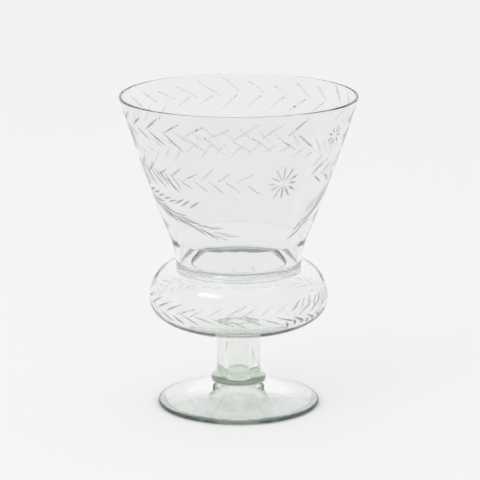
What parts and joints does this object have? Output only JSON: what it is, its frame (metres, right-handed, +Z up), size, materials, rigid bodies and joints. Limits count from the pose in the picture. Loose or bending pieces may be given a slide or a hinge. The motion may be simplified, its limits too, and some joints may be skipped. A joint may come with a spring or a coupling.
{
  "type": "footed glass",
  "caption": "Hand-blown clear glass with a flared bowl over a pinched neck, a flattened hollow bulb, a short hollow stem and a cone foot.",
  "frame": {"origin": "centre of the foot's resting plane, on the axis of the glass", "axes": "+Z up along the axis of the glass, from the foot to the rim"},
  "size_m": [0.118, 0.118, 0.157],
  "materials": {
    "clear_glass": "polished, wheel-engraved on the bowl and the bulb",
    "thick_glass": "polished, greener where it is thick"
  },
  "bodies": {
    "root": {"bowl": "clear_glass", "neck_ring": "thick_glass", "bulb": "clear_glass", "stem": "clear_glass", "collar": "thick_glass", "foot": "clear_glass"}
  },
  "joints": []
}
